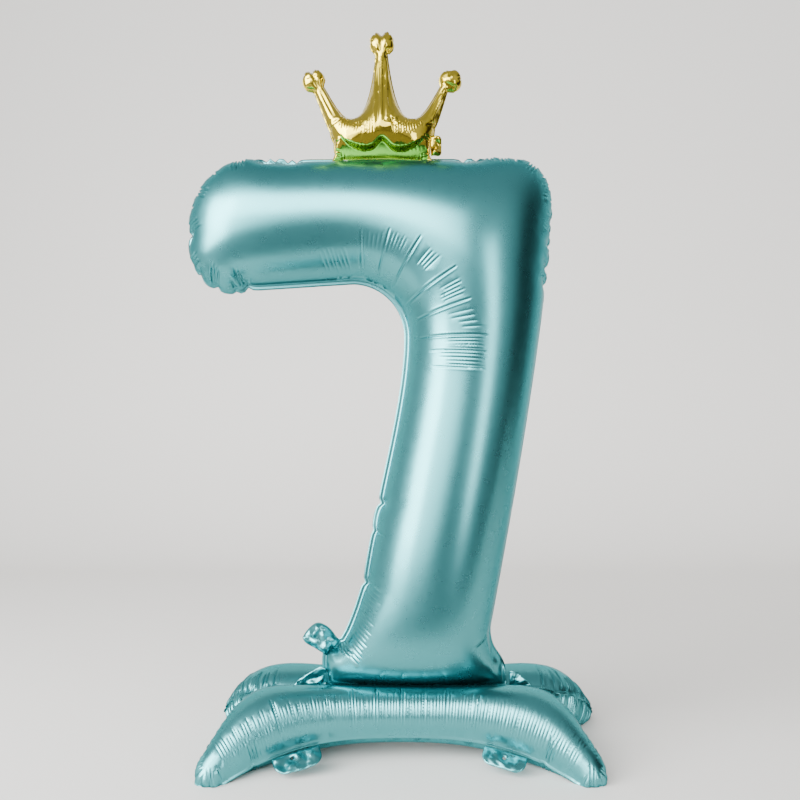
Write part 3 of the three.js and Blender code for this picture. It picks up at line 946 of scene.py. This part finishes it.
def crown_creases(seed):
    """The crown's long creases, the one above its hem and the fine pleats over and under that."""
    rng = np.random.default_rng(seed)
    made = [Crease(*row) for row in CROWN_CREASES]
    made.append(Fold(crown_hem(), 1.3, 0.4, 0.8))
    for x0, x1 in ((-54, -8), (16, 54)):
        for x in np.arange(x0, x1, 3.3):
            foot = 19 + 0.006 * x * x + rng.uniform(0, 2)
            made.append(Crease((x, foot), (x * 0.93, foot + rng.uniform(14, 22)), 0.8,
                               rng.uniform(0.6, 1.2), 0.6))
    for x in np.arange(-50, 51, 5.0):
        if abs(x) > 16:
            made.append(Crease((x, 9), (x * 0.95, 16 + rng.uniform(0, 4)), 0.8, 0.35, 0.5))
    return made


def build_crown():
    lo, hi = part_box("crown_front_sheet")
    centre, base, plane = (lo.x + hi.x) / 2 / MM, lo.z / MM, hi.y / MM + 0.15
    outline = resample(crown_outline(), 2.6)
    out = outward(outline, 1)
    on_hem = (outline[:, 1] < 6) & (np.abs(outline[:, 0]) < 54)
    fold = blur(np.maximum(ramp(bend(outline), 0.02, 0.05) * (outline[:, 1] > 12), 1.0 * on_hem), 1)
    seam = outline - out * (2.2 * (1 - fold) + 0.8 * fold)[:, None]
    notches = [(-60, 7, 2, 12), (60, 7, 2, 12), (-48, 6, 2, 8), (50, 6, 2, 8), (-64, 20, 1, 8),
               (65, 22, 2, 10), (-66, 38, 1, 6), (70, 40, 1, 6), (-98, 104, 1, 5), (-84, 110, 2, 6),
               (98, 100, 2, 6), (80, 108, 1, 5), (92, 88, 1, 5), (-9, 154, 1, 5), (10, 154, 1, 5),
               (0, 156, 2, 6), (-13, 144, 1, 4), (13, 144, 1, 4)]
    seam, wave = seam_waves(seam, notches, depth=1.2, tilt=1.0, seed=31)
    creases = crown_creases(32) + notch_creases(seam, notches, 0.9, 0.8, 33)
    back = crown_creases(42) + notch_creases(seam, notches, 0.9, 0.8, 43)
    hem = np.array(crown_hem())

    def clamp(flat):
        crease = np.interp(flat[:, 0], hem[:, 0], hem[:, 1])
        rise = np.maximum(flat[:, 1] - 1.5, 0)
        most = 1.2 + HEM_SLOPE * rise + 9.0 * ramp(flat[:, 1], crease - 0.3, crease + 3.0)
        return most, most

    made = chamber("crown", seam, creases, back, wave, extra_film(seam, 25, 6.0, 0.1), seed=34,
                   radius=13.0, step=2.4, pitch=3.2, clamp=clamp, cap=1.6, pressure=40.0)
    ripple = 0.3 * np.sin(np.arange(len(seam)) * 1.3) + 1.2 * wave
    margin = flange(made["seam"], out, 2.0, ripple, np.maximum(fold, 0.5))
    shift = np.array([centre, plane, base])
    two_films(made, margin, "crown", ("front", "back"), lambda co: co + shift, "foil_gold", 0.15)


# ---------------- crumpled pieces of loose foil

def tongue(width, length, radius):
    """A tongue's outline: x across its root, y away from it."""
    w = width / 2
    return [(-w, 0), (w, 0), (w, length - radius), *arc(w - radius, length - radius, radius, 0, 90),
            *arc(-w + radius, length - radius, radius, 90, 180), (-w, length - radius)]


def crumple(points, seed, size, height):
    """Heights of creased foil: straight folds in every direction, laid over each other."""
    rng = np.random.default_rng(seed)
    total = np.zeros(len(points))
    for _ in range(4):
        angle, scale = rng.uniform(0, pi), size * rng.uniform(0.7, 1.7)
        along = points @ np.array([cos(angle), sin(angle)]) / scale
        across = points @ np.array([-sin(angle), cos(angle)]) / scale
        t = along + rng.uniform(0, 1) + 0.12 * np.sin(across * rng.uniform(1.5, 3.0) + rng.uniform(0, 6))
        total += np.abs((t % 1) - 0.5) * rng.uniform(0.5, 1.0)
    total -= total.mean()
    return total * height / max(np.abs(total).max(), 1e-6)


def crumpled(name, outline, place, body, replaced, slot, seed, puff, fold, curl=0.0, eyelet=None,
             pitch=1.5):
    """Two layers of loose foil, joined round their rim and eyelet: puff is how far they stand apart,
    fold how deep their creases are and curl how far the end bends."""
    loop = resample(outline, pitch)
    loops = [loop]
    if eyelet:
        x, y, r = eyelet
        rng = np.random.default_rng(seed)
        star = [(x + r * k * cos(a), y + r * k * sin(a)) for a, k in
                zip(np.linspace(0, 2 * pi, 15)[:-1], rng.uniform(0.8, 1.15, 14))]
        loops.append(np.array(star))
    lo, hi = loop.min(0), loop.max(0)
    rows = np.arange(lo[1], hi[1], pitch * 0.866)
    grid = np.array([(x + (j % 2) * pitch / 2, y) for j, y in enumerate(rows)
                     for x in np.arange(lo[0], hi[0], pitch)])
    keep = inside(grid, loop) & (distance(grid, loop) > 0.6 * pitch)
    if eyelet:
        keep &= ~inside(grid, loops[1]) & (distance(grid, loops[1]) > 0.5 * pitch)
    flat, tris = triangulate(loops, grid[keep], 0.01)
    if eyelet:
        tris = tris[~inside(flat[tris].mean(1), loops[1])]
    rim = np.minimum.reduce([distance(flat, ring) for ring in loops])
    root = np.clip(flat[:, 1] / 5 + 0.2, 0, 1)
    swell = puff * np.sqrt(np.clip(rim / 8, 0, 1)) * root
    middle = crumple(flat, seed, 26, fold * 1.6) * root + curl * (flat[:, 1] / (hi[1] + 1e-6)) ** 2
    count = len(flat)
    layers = []
    for sign, off in ((-1, 1), (1, 2)):
        wrinkle = crumple(flat, seed + off, 17, fold) * np.clip(rim / 6, 0, 1) * root
        layers.append(np.stack([flat[:, 0], middle + sign * np.maximum(0.35 + swell + wrinkle, 0.3),
                                flat[:, 1]], 1))
    faces = [tuple(t) for t in tris] + [(a + count, c + count, b + count) for a, b, c in tris]
    used = set(tris.ravel().tolist())
    rim_edges, *hole_edges = loop_edges(loops)
    for a, b in rim_edges + [(b, a) for edges in hole_edges for a, b in edges]:
        if a in used and b in used:
            faces += [(a, a + count, b + count), (a, b + count, b)]
    foil_piece(name, place(np.vstack(layers)), faces, body, replaced, slot)


def upright(x, z, turn, y=0.0):
    """Places a drawing whose y axis is up, turned about its own origin, in the row frame."""
    c, s = cos(radians(turn)), sin(radians(turn))

    def place(p):
        return np.stack([x + c * p[:, 0] - s * p[:, 2], y + p[:, 1], z + s * p[:, 0] + c * p[:, 2]], 1)
    return place


def on_lower_edge(prefix, side, x, offset):
    """Places a drawing on an arch's lower edge, its y axis pointing away from the film."""
    centre, stretch = arch_span(prefix)
    origin, along, inwards = lower_edge(stretch, x)
    origin = origin - np.array([0, offset])

    def place(p):
        local = origin + p[:, 0:1] * along * side - p[:, 2:3] * inwards
        raised = np.stack([local[:, 0], -p[:, 1], local[:, 1]], 1)
        return place_arch(raised, side, centre)
    return place


def build_loose_foil():
    """The tails, the arches' tabs and valve films, and the bare foil at the weld's two ends."""
    tail = trace([(-13, -7), (13, -7), (15, 8)], ((20, 20), (21, 34), (12, 40)), ((0, 44), (-14, 41)),
                 ((-21, 34), (-18, 20), (-15, 8)))
    crumpled("digit_tail_foil", tail, upright(-97, 138.5, 50), "digit_tail",
             ["digit_inflation_tail"], "foil_teal", 51, puff=9.0, fold=3.0, curl=-4.0)
    crumpled("crown_tail_foil", tongue(25, 14, 5), upright(34.5, 796.5, -90, -4.1), "crown_tail",
             ["crown_inflation_tail"], "foil_gold", 52, puff=1.8, fold=2.6, pitch=1.0)
    for k, (prefix, side) in enumerate((("front_arch", -1), ("rear_arch", 1))):
        for kind, x, size, hole in (("inflation_tab", side * 134, (62, 27, 16), (6, 7, 2.5)),
                                    ("hang_tab", -side * 134, (56, 25, 14), (0, 9, 2.5))):
            tab = f"{prefix}_{kind}"
            crumpled(f"{tab}_foil", tongue(*size), on_lower_edge(prefix, side, x, 2.5), tab, [tab],
                     "foil_teal", 60 + 5 * k + len(kind), puff=1.6, fold=1.6, eyelet=hole)
        valve = [f"{prefix}_valve_{layer}_film" for layer in ("front", "back")]
        crumpled(f"{prefix}_valve_film", tongue(18, 34, 3), on_lower_edge(prefix, -side, side * 134, -36),
                 prefix, valve, "valve_film", 90 + k, puff=0.3, fold=0.4)
    left = [(0, -2), (0, 24), (-8, 27), (-22, 19), (-38, 9), (-46, -1), (-20, -3)]
    right = [(0, -2), (32, -1), (24, 8), (12, 18), (4, 21), (0, 20)]
    for name, outline, x, seed in (("left", left, -106, 71), ("right", right, 145.5, 72)):
        crumpled(f"weld_web_{name}", outline, upright(x, WELD_Z + 1, 0), "front_arch",
                 [f"weld_gusset_{name}"], "foil_teal", seed, puff=0.8, fold=2.4)


def build_weld():
    """The weld's bead: all the layers pressed together in one crimped line."""
    lo, hi = (corner / MM for corner in WELD)
    half = (hi.x - lo.x) / 2
    strip = [(-half, 0), (half, 0), (half, hi.z - lo.z), (-half, hi.z - lo.z)]
    crumpled("foot_weld_bead", strip, upright(lo.x + half, lo.z, 0), "front_arch", ["foot_weld"],
             "foil_weld", 81, puff=1.2, fold=0.4, pitch=1.2)


build_weld()
dress([f"{body}_valve_{side}_film" for body in ("digit", "crown") for side in ("front", "back")], CLEAR)
dress(["crown_glue_dot_left", "crown_glue_dot_right"], GLUE)
build_digit()
build_arch("front_arch", -1, 100, (-145, -59, -32, 2, 31, 56, 94), 13.0, 1.4)
build_arch("rear_arch", 1, 200, (-150, -90, -20, 60, 130), 15.0, 2.4)
build_crown()
build_loose_foil()


# ---------------- camera, light and floor

def build_stage():
    """A floor that curves up into a wall behind: pale round the balloon, dark well in front of it. The
    dark part in front is painted shade: it stands in for the dim room in front, which the foil's lower
    sides reflect.
    """
    x = (CAD_BOX[0][0] + CAD_BOX[1][0]) / 2
    mesh = bpy.data.meshes.new("floor")
    near, far, side, height, radius = -3.0, 2.2, 3.5, 4.0, 0.8
    profile = [(near, 0.0), (far - radius, 0.0)]
    profile += [(far - radius + radius * sin(a), radius - radius * cos(a))
                for a in np.linspace(0, pi / 2, 16)[1:]]
    profile += [(far, height)]
    verts = [(x + s * side, y, z) for y, z in profile for s in (-1, 1)]
    faces = [(2 * i, 2 * i + 1, 2 * i + 3, 2 * i + 2) for i in range(len(profile) - 1)]
    mesh.from_pydata(verts, [], faces)
    mesh.polygons.foreach_set("use_smooth", [True] * len(faces))
    floor = add("floor", mesh)
    made, tree, shader = material("floor_with_painted_shade")
    split = node(tree, "ShaderNodeSeparateXYZ")
    give(split, Vector=node(tree, "ShaderNodeTexCoord").outputs["Object"])
    # painted shade: the floor's colour goes dark in front of the balloon, in place of the dim room there
    # that the foil reflects
    fade = remap(tree, split.outputs["Y"], -0.46, -0.22, way="SMOOTHSTEP")
    colour_between(tree, fade, (0.13, 0.13, 0.13), (0.72, 0.705, 0.68), shader)
    rough = remap(tree, noise(tree, 30.0, 2.0), 0.0, 1.0, 0.6, 0.75)
    give(shader, Roughness=rough)
    mesh.materials.append(made)


def light(name, place, target, size, power, spread):
    """A rectangular light; size in metres, power in watts, spread in degrees."""
    lamp = bpy.data.lights.new(name, "AREA")
    lamp.shape = "RECTANGLE"
    lamp.size, lamp.size_y = size
    lamp.energy = power
    lamp.spread = radians(spread)
    made = add(name, lamp)
    made.location = place
    made.rotation_euler = (Vector(target) - Vector(place)).to_track_quat("-Z", "Y").to_euler()


# The room's brightness round the horizon: degrees from +X, anticlockwise from above, and a grey.
ROOM = [(0, 0.05), (12, 0.08), (26, 0.55), (60, 0.75), (180, 0.75), (205, 0.85), (237, 0.95), (259, 0.50),
        (272, 0.24), (287, 0.66), (312, 0.80), (332, 0.5), (346, 0.05), (360, 0.04)]
CEILING_GREY = 0.5
SOFTBOX = (-0.54, -0.75, 0.35)  # the way to the middle of a wide, soft-edged light
SOFTBOX_PEAK = 4.6
SOFTBOX_EDGE, SOFTBOX_CORE = radians(40), radians(4)  # from its middle
ROOM_STRENGTH = 1.12


def build_room():
    """An environment of soft upright bands, an even ceiling and the glow of a softbox."""
    world = bpy.data.worlds.new("room")
    bpy.context.scene.world = world
    world.use_nodes = True
    tree = world.node_tree
    link = tree.links.new
    way = node(tree, "ShaderNodeTexCoord").outputs["Generated"]
    split = node(tree, "ShaderNodeSeparateXYZ")
    give(split, Vector=way)
    angle = node(tree, "ShaderNodeMath", operation="ARCTAN2")
    link(split.outputs["Y"], angle.inputs[0])
    link(split.outputs["X"], angle.inputs[1])
    around = node(tree, "ShaderNodeMath", operation="MULTIPLY_ADD")
    around.inputs[1].default_value = 1 / (2 * pi)
    around.inputs[2].default_value = 1.0
    link(angle.outputs[0], around.inputs[0])
    turn = node(tree, "ShaderNodeMath", operation="FRACT")
    link(around.outputs[0], turn.inputs[0])
    bands = node(tree, "ShaderNodeValToRGB")
    bands.color_ramp.interpolation = "EASE"
    stops = bands.color_ramp.elements
    while len(stops) > 1:
        stops.remove(stops[-1])
    for k, (degrees, grey) in enumerate(ROOM):
        stop = stops[0] if k == 0 else stops.new(degrees / 360)
        stop.position = degrees / 360
        stop.color = (grey, grey, grey * 0.985, 1)
    give(bands, Fac=turn.outputs[0])
    ceiling = remap(tree, split.outputs["Z"], 0.45, 0.95, way="SMOOTHSTEP")
    mix = node(tree, "ShaderNodeMix", data_type="RGBA")
    give(mix, Factor=ceiling, A=bands.outputs["Color"], B=(CEILING_GREY, CEILING_GREY, CEILING_GREY, 1))
    toward = node(tree, "ShaderNodeVectorMath", operation="DOT_PRODUCT")
    link(way, toward.inputs[0])
    toward.inputs[1].default_value = Vector(SOFTBOX).normalized()
    glow = remap(tree, toward.outputs["Value"], cos(SOFTBOX_EDGE), cos(SOFTBOX_CORE),
                 high=SOFTBOX_PEAK, way="SMOOTHERSTEP")
    total = node(tree, "ShaderNodeMix", data_type="RGBA", blend_type="ADD")
    give(total, Factor=1.0, A=mix.outputs["Result"], B=glow)
    give(tree.nodes["Background"], Color=total.outputs["Result"], Strength=ROOM_STRENGTH)


def build_camera():
    camera = bpy.data.cameras.new("camera")
    camera.sensor_width = 36.0
    camera.lens = 35.1
    camera.shift_y = 0.14125
    made = add("camera", camera)
    made.location = (-0.0049, -1.045, 0.424)
    made.rotation_euler = (radians(90 - 5.5), 0, 0)
    bpy.context.scene.camera = made


build_stage()
build_room()
light("overhead", (-0.75, -2.0, 1.72), (0, 0, 0.6), (2.4, 1.35), 34, 120)
light("window", (-1.75, -0.95, 1.05), (0, 0, 0.55), (1.1, 1.7), 58, 140)
light("right_card", (1.25, -1.9, 0.6), (0, 0, 0.5), (0.5, 1.6), 11, 140)
build_camera()
